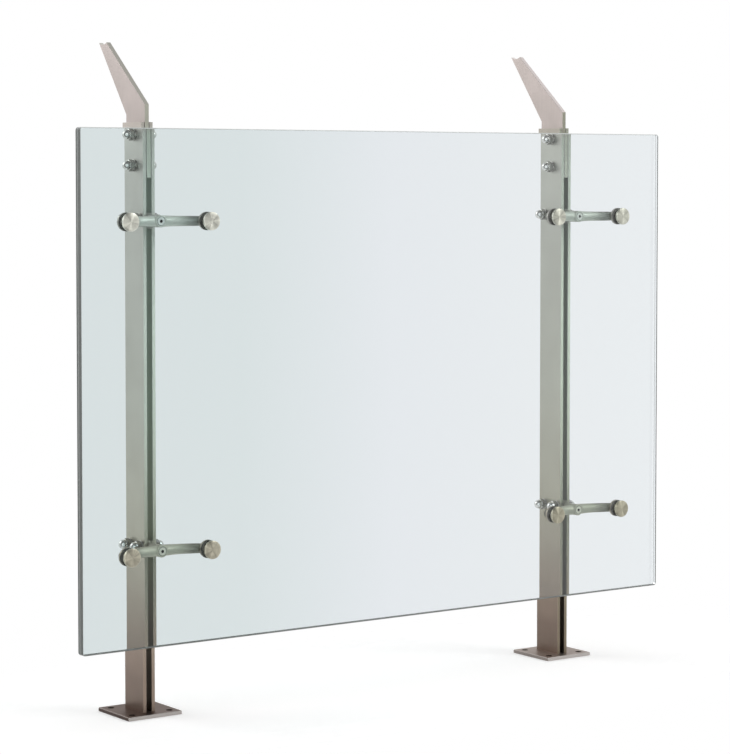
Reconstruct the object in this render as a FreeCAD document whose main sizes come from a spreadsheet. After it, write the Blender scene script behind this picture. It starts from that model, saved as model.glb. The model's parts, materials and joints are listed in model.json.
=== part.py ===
import FreeCAD, Part
import math
import os
import re

import Sketcher

# A glass balustrade panel: one thick sheet of glass held in front of two posts by point clamps.
# Each post is a pair of flat bars on a floor plate, with a handrail bracket between their tops.
# Each pair of clamps sits on a cast two-armed spider, whose tongue is bolted between the bars.
# Millimetres. X runs along the panel, Y from the glass towards the handrail, Z up. The origin is
# on the floor, on the posts' centre line, midway between the posts.

DIMENSIONS = {
    # Posts
    "plate_side": 100,
    "plate_thickness": 6,
    "plate_edge_break": 0.8,
    "plate_hole_diameter": 11,
    "plate_hole_spacing": 70,
    "bar_depth": 60,
    "bar_thickness": 6,
    "bar_gap": 10,
    "bar_rise": 11,
    "bar_edge_break": 0.4,
    # Handrail brackets
    "bracket_thickness": 8,
    "bracket_tail": 90,
    "bracket_back_rise": 13,
    "bracket_front_rise": 29,
    "bracket_edge_break": 0.4,
    "bracket_stud_drop": 20,
    "bracket_stud_pitch": 50,
    "saddle_rise": 134,
    "saddle_reach": 120,
    "saddle_width": 25,
    "handrail_diameter": 50,
    # Through studs with dome nuts
    "stud_diameter": 10,
    "stud_hole_clearance": 0.5,
    "thread_clearance": 0.1,
    "nut_across_flats": 17,
    "nut_hex_height": 8,
    "nut_dome_diameter": 16,
    "nut_height": 18,
    "nut_bore_depth": 12,
    "nut_corner_break": 1.2,
    "washer_diameter": 20,
    "washer_thickness": 2,
    # Glass
    "glass_width": 1203,
    "glass_height": 832,
    "glass_thickness": 15,
    "glass_bottom": 127,
    "glass_overhang": 163.5,
    "glass_front": 104,
    "glass_corner_radius": 5,
    "glass_arris": 1,
    "glass_hole_diameter": 16,
    # Point clamps
    "clamp_spacing": 150,
    "clamp_inset": 149,
    "clamp_bolt_diameter": 8,
    "clamp_bolt_grip": 11,
    "clamp_hole_clearance": 0.5,
    "cap_diameter": 30,
    "cap_thickness": 4,
    "cap_edge_break": 0.8,
    "gasket_thickness": 1,
    "sleeve_clearance": 0.3,
    "rear_disc_thickness": 5,
    "rear_disc_edge_break": 1.5,
    # Spiders
    "hub_diameter": 20,
    "hub_front": 69,
    "hub_length": 21,
    "hub_edge_break": 1.2,
    "arm_setback": 11,
    "arm_hub_diameter": 18.8,
    "arm_root_offset": 16,
    "arm_root_diameter": 18,
    "arm_middle_offset": 45,
    "arm_middle_diameter": 16.6,
    "arm_middle_lead": 5,
    "arm_end_diameter": 14.8,
    "boss_diameter": 15.6,
    "boss_length": 15,
    "boss_edge_radius": 4,
    "collar_length": 12,
    "tongue_height": 26,
    "tongue_side_clearance": 0.1,
    "tongue_rear_inset": 3,
    "tongue_corner_radius": 6,
    "tongue_stud_spacing": 36,
    "tongue_stud_rise": 3,
    # Hub screws
    "screw_head_diameter": 15,
    "screw_head_height": 5,
    "screw_head_clearance": 0.4,
    "screw_edge_break": 0.8,
    "screw_diameter": 8,
    "screw_hole_clearance": 0.5,
    "screw_grip": 10,
    "socket_across_flats": 5,
    "socket_depth": 3.5,
}

# Sizes and places that follow from the dimensions above
POST_SPACING = "(glass_width - 2 * glass_overhang)"
GLASS_TOP = "(glass_bottom + glass_height)"
BAR_TOP = f"({GLASS_TOP} + bar_rise)"
SADDLE_HEIGHT = f"({BAR_TOP} + saddle_rise)"
STUD_HOLE = "(stud_diameter + stud_hole_clearance)"
STUD_BORE = "(stud_diameter + thread_clearance)"
BAR_CENTRE = "(bar_gap / 2 + bar_thickness / 2)"
BAR_OUTER = "(bar_gap / 2 + bar_thickness)"
NUT_SEAT = f"({BAR_OUTER} + washer_thickness)"
STUD_HALF_LENGTH = f"({NUT_SEAT} + nut_bore_depth)"
SHIM_THICKNESS = "((bar_gap - bracket_thickness) / 2)"
BRACKET_STUD_HEIGHTS = (
    f"({BAR_TOP} - bracket_stud_drop)",
    f"({BAR_TOP} - bracket_stud_drop - bracket_stud_pitch)",
)
GLASS_BACK = "(glass_front - glass_thickness)"
REAR_DISC_FRONT = f"({GLASS_BACK} - gasket_thickness)"
BOSS_FRONT = f"({REAR_DISC_FRONT} - rear_disc_thickness)"
CLAMP_HOLE = "(clamp_bolt_diameter + clamp_hole_clearance)"
CLAMP_BORE = "(clamp_bolt_diameter + thread_clearance)"
HUB_BACK = "(hub_front - hub_length)"
COLLAR_BACK = f"({HUB_BACK} - collar_length)"

SIDES = {"left": "-", "right": "+"}
LEVELS = {"upper": f"({GLASS_TOP} - clamp_inset)", "lower": "(glass_bottom + clamp_inset)"}

# Ways to set a piece down: its own +Z stays up, or points forward to the glass, left or right
UPRIGHT = FreeCAD.Rotation()
FORWARD = FreeCAD.Rotation(FreeCAD.Vector(1, 0, 0), 90)
LEFTWARD = FreeCAD.Rotation(FreeCAD.Vector(0, 1, 0), -90)
RIGHTWARD = FreeCAD.Rotation(FreeCAD.Vector(0, 1, 0), 90)

ALONG_X = "YZ_Plane"
ALONG_MINUS_Y = "XZ_Plane"
ALONG_Z = "XY_Plane"

TOUCH = 1e-4

doc = FreeCAD.newDocument("glass_balustrade_panel")
sheet = doc.addObject("Spreadsheet::Sheet", "dims")
nodes = []


def fill_sheet():
    """One row for each driving dimension: its name, and its value under that alias."""
    for row, (name, size) in enumerate(DIMENSIONS.items(), start=1):
        sheet.set(f"A{row}", name)
        sheet.set(f"B{row}", str(size))
        sheet.setAlias(f"B{row}", name)
    doc.recompute()


def formula(words):
    """Points each dimension named in a formula at its cell in the sheet."""
    return re.sub(r"\b[a-z]+_[a-z_]+\b", lambda name: f"dims.{name.group()}", words)


def value(words):
    """The present value of a formula, in millimetres."""
    return float(sheet.evalExpression(formula(words)))


def bind(thing, size, words):
    """Ties one size of a document object to a formula of the sheet's dimensions."""
    thing.setExpression(size, formula(words))


# Sketches

def new_body(name):
    return doc.addObject("PartDesign::Body", name)


def new_sketch(body, plane, name, offset="0"):
    """A sketch on one of the body's own origin planes, moved along that plane's normal."""
    sketch = body.newObject("Sketcher::SketchObject", name)
    support = next(datum for datum in body.Origin.OriginFeatures if datum.Role == plane)
    sketch.AttachmentSupport = (support, "")
    sketch.MapMode = "FlatFace"
    if offset != "0":
        bind(sketch, "AttachmentOffset.Base.z", offset)
    return sketch


def limit(sketch, constraint, words):
    """Adds a dimension to a sketch and ties it to a formula."""
    index = sketch.addConstraint(constraint)
    bind(sketch, f"Constraints[{index}]", words)


def pin(sketch, geometry, point, across, up):
    """Holds one point of a sketch at a place given by two formulas."""
    for kind, axis, words in (("DistanceX", -2, across), ("DistanceY", -1, up)):
        if words == "0":
            sketch.addConstraint(Sketcher.Constraint("PointOnObject", geometry, point, axis))
        else:
            limit(sketch, Sketcher.Constraint(kind, -1, 1, geometry, point, value(words)), words)


def arc_between(start, end, radius):
    """The shorter arc that turns anticlockwise from start to end."""
    chord = end - start
    rise = math.sqrt(radius ** 2 - (chord.Length / 2) ** 2)
    left = FreeCAD.Vector(-chord.y, chord.x, 0).normalize()
    centre = (start + end) / 2 + left * rise
    angles = [math.atan2(point.y - centre.y, point.x - centre.x) for point in (start, end)]
    return Part.ArcOfCircle(Part.Circle(centre, FreeCAD.Vector(0, 0, 1), radius), *angles)


def outline(sketch, corners):
    """A closed outline through corners; a corner's third formula is the radius of the side after it."""
    points = [FreeCAD.Vector(value(across), value(up), 0) for across, up, *radius in corners]
    ends = points[1:] + points[:1]
    sides = []
    for start, end, (across, up, *radius) in zip(points, ends, corners):
        shape = arc_between(start, end, value(*radius)) if radius else Part.LineSegment(start, end)
        sides.append(sketch.addGeometry(shape))
    for side, follower in zip(sides, sides[1:] + sides[:1]):
        sketch.addConstraint(Sketcher.Constraint("Coincident", side, 2, follower, 1))
    for side, (across, up, *radius) in zip(sides, corners):
        pin(sketch, side, 1, across, up)
        for words in radius:
            limit(sketch, Sketcher.Constraint("Radius", side, value(words)), words)


def rectangle(sketch, width, height, middle="0"):
    """A rectangle about the sketch's upright axis, with its middle at a height."""
    outline(sketch, [(f"{across} {width} / 2", f"{middle} {up} {height} / 2")
                     for across, up in (("-", "-"), ("+", "-"), ("+", "+"), ("-", "+"))])


def circle(sketch, across, up, diameter):
    radius = value(diameter) / 2
    centre = FreeCAD.Vector(value(across), value(up), 0)
    index = sketch.addGeometry(Part.Circle(centre, FreeCAD.Vector(0, 0, 1), radius))
    pin(sketch, index, 3, across, up)
    limit(sketch, Sketcher.Constraint("Diameter", index, 2 * radius), diameter)


def hexagon(sketch, across_flats):
    """A regular hexagon about the sketch's origin, with two corners on the sketch's X axis."""
    reach = f"{across_flats} / sqrt(3)"
    corners = []
    for turn in range(0, 360, 60):
        up = "0" if turn % 180 == 0 else f"{reach} * sin({turn})"
        corners.append((f"{reach} * cos({turn})", up))
    outline(sketch, corners)


# Features

def pad(body, sketch, length, symmetric=False):
    feature = body.newObject("PartDesign::Pad", f"{sketch.Name}_pad")
    feature.Profile = sketch
    feature.SideType = "Symmetric" if symmetric else "One side"
    bind(feature, "Length", length)
    doc.recompute()
    return feature


def pocket(body, sketch, depth=None, reverse=False):
    """Cuts a sketch out of the body, to a depth or, with no depth, right through both ways."""
    feature = body.newObject("PartDesign::Pocket", f"{sketch.Name}_pocket")
    feature.Profile = sketch
    feature.Reversed = reverse
    if depth is None:
        feature.SideType = "Symmetric"
        feature.Type = "ThroughAll"
    else:
        bind(feature, "Length", depth)
    doc.recompute()
    return feature


def revolve(body, sketch, kind="Revolution"):
    """Turns a half section about the sketch's upright axis, as metal or, with Groove, as a cut."""
    feature = body.newObject(f"PartDesign::{kind}", f"{sketch.Name}_turned")
    feature.Profile = sketch
    feature.ReferenceAxis = (sketch, ["V_Axis"])
    feature.Angle = 360
    doc.recompute()
    return feature


def edges_where(feature, test):
    """The names of a feature's edges that pass a test."""
    return [f"Edge{index}" for index, edge in enumerate(feature.Shape.Edges, start=1) if test(edge)]


def level_with(edge, axis, place):
    """Whether a whole edge lies at one place along an axis."""
    box = edge.BoundBox
    return abs(getattr(box, f"{axis}Min") - place) < TOUCH and abs(getattr(box, f"{axis}Max") - place) < TOUCH


def runs_along(edge, axis):
    """Whether an edge is straight and runs along an axis."""
    box = edge.BoundBox
    length = getattr(box, f"{axis}Length")
    return isinstance(edge.Curve, Part.Line) and abs(edge.Length - length) < TOUCH


def dress(body, kind, base, edges, size, words):
    """A chamfer or fillet on named edges of the body's last feature."""
    feature = body.newObject(f"PartDesign::{kind}", f"{body.Name}_{kind.lower()}")
    feature.Base = (base, edges)
    bind(feature, size, words)
    doc.recompute()
    return feature


def chamfer(body, base, edges, words):
    return dress(body, "Chamfer", base, edges, "Size", words)


def fillet(body, base, edges, words):
    return dress(body, "Fillet", base, edges, "Radius", words)


def turned(name, half_section):
    """A turned piece from its half section, given as radius and height, about its own Z axis."""
    body = new_body(name)
    section = new_sketch(body, ALONG_MINUS_Y, f"{name}_section")
    outline(section, half_section)
    revolve(body, section)
    return body


def ring(name, diameter, bore, height):
    """A flat or tall ring that stands on its own XY plane."""
    return turned(name, [
        (f"{bore} / 2", "0"),
        (f"{diameter} / 2", "0"),
        (f"{diameter} / 2", height),
        (f"{bore} / 2", height),
    ])


# Posts

def make_base_plate():
    body = new_body("base_plate")
    face = new_sketch(body, ALONG_Z, "plate_face")
    rectangle(face, "plate_side", "plate_side")
    for across in "-+":
        for up in "-+":
            circle(face, f"{across} plate_hole_spacing / 2", f"{up} plate_hole_spacing / 2",
                   "plate_hole_diameter")
    plate = pad(body, face, "plate_thickness")
    top = value("plate_thickness")
    rim = edges_where(plate, lambda edge: level_with(edge, "Z", top) and isinstance(edge.Curve, Part.Line))
    chamfer(body, plate, rim, "plate_edge_break")
    return body


def make_flat_bar():
    body = new_body("flat_bar")
    section = new_sketch(body, ALONG_Z, "bar_section", "plate_thickness")
    rectangle(section, "bar_thickness", "bar_depth")
    bar = pad(body, section, f"{BAR_TOP} - plate_thickness")
    long_edges = edges_where(bar, lambda edge: runs_along(edge, "Z"))
    chamfer(body, bar, long_edges, "bar_edge_break")
    holes = new_sketch(body, ALONG_X, "bar_holes")
    for height in BRACKET_STUD_HEIGHTS:
        circle(holes, "0", height, STUD_HOLE)
    for height in LEVELS.values():
        for across in "-+":
            circle(holes, f"{across} tongue_stud_spacing / 2", f"{height} + tongue_stud_rise", STUD_HOLE)
    pocket(body, holes)
    return body


def make_handrail_bracket():
    """A leaning blade: its tail stands between the bars, and its tip is hollowed for the handrail."""
    body = new_body("handrail_bracket")
    profile = new_sketch(body, ALONG_X, "bracket_profile")
    outline(profile, [
        ("-bar_depth / 2", f"{BAR_TOP} - bracket_tail"),
        ("-bar_depth / 2", f"{BAR_TOP} + bracket_front_rise"),
        ("saddle_reach - saddle_width", SADDLE_HEIGHT, "handrail_diameter / 2"),
        ("saddle_reach", SADDLE_HEIGHT),
        ("bar_depth / 2", f"{BAR_TOP} + bracket_back_rise"),
        ("bar_depth / 2", f"{BAR_TOP} - bracket_tail"),
    ])
    for height in BRACKET_STUD_HEIGHTS:
        circle(profile, "0", height, STUD_HOLE)
    blade = pad(body, profile, "bracket_thickness", symmetric=True)
    half = value("bracket_thickness") / 2

    def on_outline(edge):
        on_a_face = level_with(edge, "X", half) or level_with(edge, "X", -half)
        is_hole = isinstance(edge.Curve, Part.Circle) and edge.isClosed()
        return on_a_face and not is_hole

    chamfer(body, blade, edges_where(blade, on_outline), "bracket_edge_break")
    return body


# Through studs with their nuts and washers

def make_stud():
    return turned("through_stud", [
        ("0", f"-{STUD_HALF_LENGTH}"),
        ("stud_diameter / 2", f"-{STUD_HALF_LENGTH}"),
        ("stud_diameter / 2", STUD_HALF_LENGTH),
        ("0", STUD_HALF_LENGTH),
    ])


def make_dome_nut():
    """A hexagon with its upper corners turned off, a short neck and a round dome over a blind bore."""
    body = new_body("dome_nut")
    flats = new_sketch(body, ALONG_Z, "nut_flats")
    hexagon(flats, "nut_across_flats")
    pad(body, flats, "nut_hex_height")
    corner = "nut_across_flats / sqrt(3)"
    turned_off = new_sketch(body, ALONG_MINUS_Y, "nut_corners")
    outline(turned_off, [
        (f"{corner} - nut_corner_break", "nut_hex_height"),
        (f"{corner} + nut_corner_break", "nut_hex_height - nut_corner_break"),
        (f"{corner} + nut_corner_break", "nut_hex_height + nut_corner_break"),
        (f"{corner} - nut_corner_break", "nut_hex_height + nut_corner_break"),
    ])
    revolve(body, turned_off, "Groove")
    dome = new_sketch(body, ALONG_MINUS_Y, "nut_dome")
    radius = "nut_dome_diameter / 2"
    outline(dome, [
        ("0", "nut_hex_height"),
        (radius, "nut_hex_height"),
        (radius, f"nut_height - {radius}", radius),
        ("0", "nut_height"),
    ])
    revolve(body, dome)
    bore = new_sketch(body, ALONG_Z, "nut_bore")
    circle(bore, "0", "0", STUD_BORE)
    pocket(body, bore, "nut_bore_depth", reverse=True)
    return body


# Glass and its clamps

def make_glass():
    body = new_body("glass_sheet")
    face = new_sketch(body, ALONG_MINUS_Y, "glass_face", GLASS_BACK)
    rectangle(face, "glass_width", "glass_height", "glass_bottom + glass_height / 2")
    pane = pad(body, face, "glass_thickness")
    pane = fillet(body, pane, edges_where(pane, lambda edge: runs_along(edge, "Y")), "glass_corner_radius")
    faces = (-value("glass_front"), -value(GLASS_BACK))
    rim = edges_where(pane, lambda edge: any(level_with(edge, "Y", place) for place in faces))
    chamfer(body, pane, rim, "glass_arris")
    holes = new_sketch(body, ALONG_MINUS_Y, "glass_holes")
    for side in SIDES.values():
        for arm in "-+":
            for height in LEVELS.values():
                circle(holes, f"{side} {POST_SPACING} / 2 {arm} clamp_spacing / 2", height, "glass_hole_diameter")
    pocket(body, holes)
    return body


def make_clamp_cap():
    """A flat cap and its bolt, turned as one piece; the cap's back is on its own XY plane."""
    tail = "-(2 * gasket_thickness + glass_thickness + rear_disc_thickness + clamp_bolt_grip)"
    return turned("clamp_cap", [
        ("0", tail),
        ("clamp_bolt_diameter / 2", tail),
        ("clamp_bolt_diameter / 2", "0"),
        ("cap_diameter / 2", "0"),
        ("cap_diameter / 2", "cap_thickness - cap_edge_break"),
        ("cap_diameter / 2 - cap_edge_break", "cap_thickness"),
        ("0", "cap_thickness"),
    ])


def make_rear_disc():
    return turned("rear_disc", [
        (f"{CLAMP_HOLE} / 2", "0"),
        ("cap_diameter / 2 - rear_disc_edge_break", "0"),
        ("cap_diameter / 2", "rear_disc_edge_break"),
        ("cap_diameter / 2", "rear_disc_thickness"),
        (f"{CLAMP_HOLE} / 2", "rear_disc_thickness"),
    ])


# Spiders

def make_spider_tongue():
    """A round collar that carries the arms, and a tongue that is bolted between the bars."""
    body = new_body("spider_tongue")
    collar = new_sketch(body, ALONG_MINUS_Y, "collar_section", COLLAR_BACK)
    circle(collar, "0", "0", "hub_diameter")
    barrel = pad(body, collar, "collar_length")
    back_place = -value(COLLAR_BACK)
    rim = edges_where(barrel, lambda edge: level_with(edge, "Y", back_place))
    chamfer(body, barrel, rim, "hub_edge_break")
    side = new_sketch(body, ALONG_X, "tongue_side")
    front = f"-{COLLAR_BACK} - collar_length / 2"
    rear = "bar_depth / 2 - tongue_rear_inset"
    outline(side, [
        (front, "-hub_diameter / 2 + hub_edge_break"),
        (f"-{COLLAR_BACK}", "-hub_diameter / 2 + hub_edge_break"),
        ("-bar_depth / 2", "-tongue_height / 2"),
        (rear, "-tongue_height / 2"),
        (rear, "tongue_height / 2"),
        ("-bar_depth / 2", "tongue_height / 2"),
        (f"-{COLLAR_BACK}", "hub_diameter / 2 - hub_edge_break"),
        (front, "hub_diameter / 2 - hub_edge_break"),
    ])
    for across in "-+":
        circle(side, f"{across} tongue_stud_spacing / 2", "tongue_stud_rise", STUD_HOLE)
    blade = pad(body, side, "bar_gap - 2 * tongue_side_clearance", symmetric=True)
    rear_place = value(rear)
    rear_corners = edges_where(blade, lambda edge: runs_along(edge, "X") and level_with(edge, "Y", rear_place))
    fillet(body, blade, rear_corners, "tongue_corner_radius")
    bore = new_sketch(body, ALONG_MINUS_Y, "collar_bore", HUB_BACK)
    circle(bore, "0", "0", "screw_diameter + thread_clearance")
    pocket(body, bore, "screw_grip")
    return body


def make_spider_arm():
    """A cast hub with two round arms that taper, lean forward and end in bosses behind the glass."""
    body = new_body("spider_arm")
    hub_section = new_sketch(body, ALONG_MINUS_Y, "hub_section", HUB_BACK)
    circle(hub_section, "0", "0", "hub_diameter")
    hub = pad(body, hub_section, "hub_length")
    front_place = -value("hub_front")
    chamfer(body, hub, edges_where(hub, lambda edge: level_with(edge, "Y", front_place)), "hub_edge_break")

    root = "(hub_front - arm_setback)"
    end = f"({BOSS_FRONT} - boss_length / 2)"
    half_arm = [
        ("arm_root_offset", root, "arm_root_diameter"),
        ("arm_middle_offset", f"({root} + arm_middle_lead)", "arm_middle_diameter"),
        ("clamp_spacing / 2", end, "arm_end_diameter"),
    ]
    stations = [(f"-{offset}", forward, diameter) for offset, forward, diameter in reversed(half_arm)]
    stations.append(("0", root, "arm_hub_diameter"))
    stations += half_arm
    sections = []
    for number, (offset, forward, diameter) in enumerate(stations, start=1):
        section = new_sketch(body, ALONG_X, f"arm_section_{number}", offset)
        circle(section, f"-{forward}", "0", diameter)
        sections.append(section)
    arms = body.newObject("PartDesign::AdditiveLoft", "arms")
    arms.Profile = sections[0]
    arms.Sections = sections[1:]
    doc.recompute()

    boss_section = new_sketch(body, ALONG_MINUS_Y, "boss_section", f"{BOSS_FRONT} - boss_length")
    for arm in "-+":
        circle(boss_section, f"{arm} clamp_spacing / 2", "0", "boss_diameter")
    bosses = pad(body, boss_section, "boss_length")
    back_place = -value(f"{BOSS_FRONT} - boss_length")
    backs = edges_where(bosses, lambda edge: level_with(edge, "Y", back_place))
    fillet(body, bosses, backs, "boss_edge_radius")

    screw_hole = new_sketch(body, ALONG_MINUS_Y, "screw_hole")
    circle(screw_hole, "0", "0", "screw_diameter + screw_hole_clearance")
    pocket(body, screw_hole)
    screw_seat = new_sketch(body, ALONG_MINUS_Y, "screw_seat", "hub_front")
    circle(screw_seat, "0", "0", "screw_head_diameter + screw_head_clearance")
    pocket(body, screw_seat, "screw_head_height")
    clamp_bores = new_sketch(body, ALONG_MINUS_Y, "clamp_bores", BOSS_FRONT)
    for arm in "-+":
        circle(clamp_bores, f"{arm} clamp_spacing / 2", "0", CLAMP_BORE)
    pocket(body, clamp_bores, "clamp_bolt_grip")
    return body


def make_hub_screw():
    """A low round head with a hexagon socket; the head's face is on its own XY plane."""
    body = new_body("hub_screw")
    section = new_sketch(body, ALONG_MINUS_Y, "screw_section")
    tail = "-(hub_length + screw_grip)"
    outline(section, [
        ("0", tail),
        ("screw_diameter / 2", tail),
        ("screw_diameter / 2", "-screw_head_height"),
        ("screw_head_diameter / 2", "-screw_head_height"),
        ("screw_head_diameter / 2", "-screw_edge_break"),
        ("screw_head_diameter / 2 - screw_edge_break", "0"),
        ("0", "0"),
    ])
    revolve(body, section)
    socket = new_sketch(body, ALONG_Z, "screw_socket")
    hexagon(socket, "socket_across_flats")
    pocket(body, socket, "socket_depth")
    return body


# Assembly

def place(label, piece, spots):
    """A node: the piece set down at each spot, given as three formulas and a rotation."""
    copies = []
    for number, (x, y, z, rotation) in enumerate(spots, start=1):
        copy = doc.addObject("App::Link", f"{label}_{number}")
        copy.LinkedObject = piece
        copy.Placement = FreeCAD.Placement(FreeCAD.Vector(), rotation)
        for axis, words in (("x", x), ("y", y), ("z", z)):
            bind(copy, f"Placement.Base.{axis}", words)
        copies.append(copy)
    node = doc.addObject("Part::Compound", label)
    node.Label = label
    node.Links = copies
    nodes.append(node)


def both_ways(post, out, y, heights):
    """Spots to the left and right of a post's centre, facing away from it."""
    return [spot for height in heights for spot in (
        (f"{post} - {out}", y, height, LEFTWARD),
        (f"{post} + {out}", y, height, RIGHTWARD),
    )]


def assemble_post(side, pieces):
    """A floor plate, two bars, and the handrail bracket with its studs, nuts, washers and shims."""
    post = f"({SIDES[side]} {POST_SPACING} / 2)"
    place(f"{side}_base_plate", pieces["base_plate"], [(post, "0", "0", UPRIGHT)])
    bar_names = ("outer", "inner") if side == "left" else ("inner", "outer")
    for bar, sign in zip(bar_names, "-+"):
        place(f"{side}_{bar}_bar", pieces["flat_bar"], [(f"{post} {sign} {BAR_CENTRE}", "0", "0", UPRIGHT)])
    place(f"{side}_handrail_bracket", pieces["handrail_bracket"], [(post, "0", "0", UPRIGHT)])
    place(f"{side}_bracket_studs", pieces["stud"],
          [(post, "0", height, RIGHTWARD) for height in BRACKET_STUD_HEIGHTS])
    place(f"{side}_bracket_shims", pieces["shim"],
          both_ways(post, "bracket_thickness / 2", "0", BRACKET_STUD_HEIGHTS))
    place(f"{side}_bracket_washers", pieces["washer"], both_ways(post, BAR_OUTER, "0", BRACKET_STUD_HEIGHTS))
    place(f"{side}_bracket_dome_nuts", pieces["dome_nut"], both_ways(post, NUT_SEAT, "0", BRACKET_STUD_HEIGHTS))


def assemble_spider(level, side, pieces):
    """A spider with its screw and studs, and the two clamps that it carries."""
    name = f"{level}_{side}"
    post = f"({SIDES[side]} {POST_SPACING} / 2)"
    height = LEVELS[level]
    stud_height = f"({height} + tongue_stud_rise)"
    stud_rows = [f"{sign} tongue_stud_spacing / 2" for sign in "-+"]
    place(f"{name}_spider_tongue", pieces["spider_tongue"], [(post, "0", height, UPRIGHT)])
    place(f"{name}_spider_arm", pieces["spider_arm"], [(post, "0", height, UPRIGHT)])
    place(f"{name}_hub_screw", pieces["hub_screw"], [(post, "-hub_front", height, FORWARD)])
    place(f"{name}_tongue_studs", pieces["stud"], [(post, row, stud_height, RIGHTWARD) for row in stud_rows])
    for plural, piece, out in (("washers", "washer", BAR_OUTER), ("dome_nuts", "dome_nut", NUT_SEAT)):
        spots = [spot for row in stud_rows for spot in both_ways(post, out, row, [stud_height])]
        place(f"{name}_tongue_{plural}", pieces[piece], spots)

    clamps = [f"{post} {sign} clamp_spacing / 2" for sign in "-+"]

    def at_clamps(*forward):
        return [(x, f"-{place_forward}", height, FORWARD) for x in clamps for place_forward in forward]

    place(f"{name}_clamp_caps", pieces["clamp_cap"], at_clamps("(glass_front + gasket_thickness)"))
    place(f"{name}_clamp_gaskets", pieces["gasket"], at_clamps("glass_front", REAR_DISC_FRONT))
    place(f"{name}_glass_sleeves", pieces["sleeve"], at_clamps(GLASS_BACK))
    place(f"{name}_rear_discs", pieces["rear_disc"], at_clamps(BOSS_FRONT))


def check_document():
    """Stops on a failed object, a cut that removed nothing, or a node with no sound solid."""
    for thing in doc.Objects:
        if {"Invalid", "Error"} & set(thing.State):
            raise RuntimeError(f"{thing.Name} failed: {thing.State}")
        if thing.TypeId in ("PartDesign::Pocket", "PartDesign::Groove"):
            if thing.Shape.Volume >= thing.BaseFeature.Shape.Volume - TOUCH:
                raise RuntimeError(f"{thing.Name} cuts nothing")
    for node in nodes:
        if node.Shape.isNull() or not node.Shape.isValid() or not node.Shape.Solids:
            raise RuntimeError(f"{node.Label} has no sound solid")


def main():
    fill_sheet()
    pieces = {
        "base_plate": make_base_plate(),
        "flat_bar": make_flat_bar(),
        "handrail_bracket": make_handrail_bracket(),
        "stud": make_stud(),
        "dome_nut": make_dome_nut(),
        "washer": ring("washer", "washer_diameter", STUD_HOLE, "washer_thickness"),
        "shim": ring("shim", "washer_diameter", STUD_HOLE, SHIM_THICKNESS),
        "glass": make_glass(),
        "clamp_cap": make_clamp_cap(),
        "gasket": ring("gasket", "cap_diameter", CLAMP_HOLE, "gasket_thickness"),
        "sleeve": ring("sleeve", "(glass_hole_diameter - sleeve_clearance)", CLAMP_HOLE, "glass_thickness"),
        "rear_disc": make_rear_disc(),
        "spider_tongue": make_spider_tongue(),
        "spider_arm": make_spider_arm(),
        "hub_screw": make_hub_screw(),
    }
    place("glass_panel", pieces["glass"], [("0", "0", "0", UPRIGHT)])
    for side in SIDES:
        assemble_post(side, pieces)
        for level in LEVELS:
            assemble_spider(level, side, pieces)
    doc.recompute()
    check_document()
    os.makedirs("parts", exist_ok=True)
    for node in nodes:
        node.Shape.exportStep(f"parts/{node.Label}.step")
    print(f"{len(nodes)} nodes, {sum(len(node.Shape.Solids) for node in nodes)} solids")


main()
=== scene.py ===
import json
import math

import bmesh
import bpy
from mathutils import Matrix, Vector


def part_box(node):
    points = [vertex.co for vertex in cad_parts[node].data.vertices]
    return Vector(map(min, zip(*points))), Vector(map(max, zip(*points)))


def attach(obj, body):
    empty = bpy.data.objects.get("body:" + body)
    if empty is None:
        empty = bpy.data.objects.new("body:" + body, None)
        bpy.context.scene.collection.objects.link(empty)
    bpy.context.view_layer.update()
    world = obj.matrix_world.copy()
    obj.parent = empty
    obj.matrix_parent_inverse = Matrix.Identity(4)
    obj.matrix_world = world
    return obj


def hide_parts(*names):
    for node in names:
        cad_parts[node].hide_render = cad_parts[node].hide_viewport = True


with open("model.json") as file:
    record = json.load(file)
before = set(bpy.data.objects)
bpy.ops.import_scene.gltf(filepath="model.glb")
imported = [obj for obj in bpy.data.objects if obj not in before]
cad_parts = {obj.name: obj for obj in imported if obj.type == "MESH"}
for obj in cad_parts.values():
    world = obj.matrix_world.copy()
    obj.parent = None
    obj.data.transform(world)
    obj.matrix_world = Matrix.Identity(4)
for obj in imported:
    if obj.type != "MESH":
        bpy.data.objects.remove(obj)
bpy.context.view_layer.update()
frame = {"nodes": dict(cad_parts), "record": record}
cad = frame["nodes"]
slots = {part["node"]: part["material_slot"] for part in frame["record"]["subparts"]}

SIDES = ("left", "right")
SPIDERS = ("upper_left", "upper_right", "lower_left", "lower_right")
MM = 0.001
SAME_POINT = 1e-6
WHITE = (1.0, 1.0, 1.0)

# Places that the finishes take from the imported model, in metres
glass_low, glass_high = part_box("glass_panel")
glass_middle = (glass_low + glass_high) / 2
glass_half = (glass_high - glass_low) / 2
plate_low, plate_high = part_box("right_base_plate")
post_x, post_y = ((plate_low + plate_high) / 2).xy
bar_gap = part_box("right_outer_bar")[0].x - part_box("right_inner_bar")[1].x


# Node trees

GRAIN_ROUGHNESS = 0.55


def feed(tree, socket, source):
    """Links a socket to its source, or sets it where the source is a plain value."""
    if isinstance(source, bpy.types.NodeSocket):
        tree.links.new(source, socket)
    else:
        socket.default_value = source


def add(tree, kind, inputs=None, **settings):
    """A node with its settings and inputs."""
    made = tree.nodes.new(kind)
    for name, choice in settings.items():
        setattr(made, name, choice)
    for name, source in (inputs or {}).items():
        socket = next(s for s in made.inputs if name in (s.identifier, s.name) and s.enabled)
        feed(tree, socket, source)
    return made


def out(node):
    return next(socket for socket in node.outputs if socket.enabled)


def new_material(name):
    finish = bpy.data.materials.new(name)
    finish.use_nodes = True
    finish.node_tree.nodes.clear()
    return finish, finish.node_tree


def object_place(tree):
    return add(tree, "ShaderNodeTexCoord").outputs["Object"]


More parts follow.
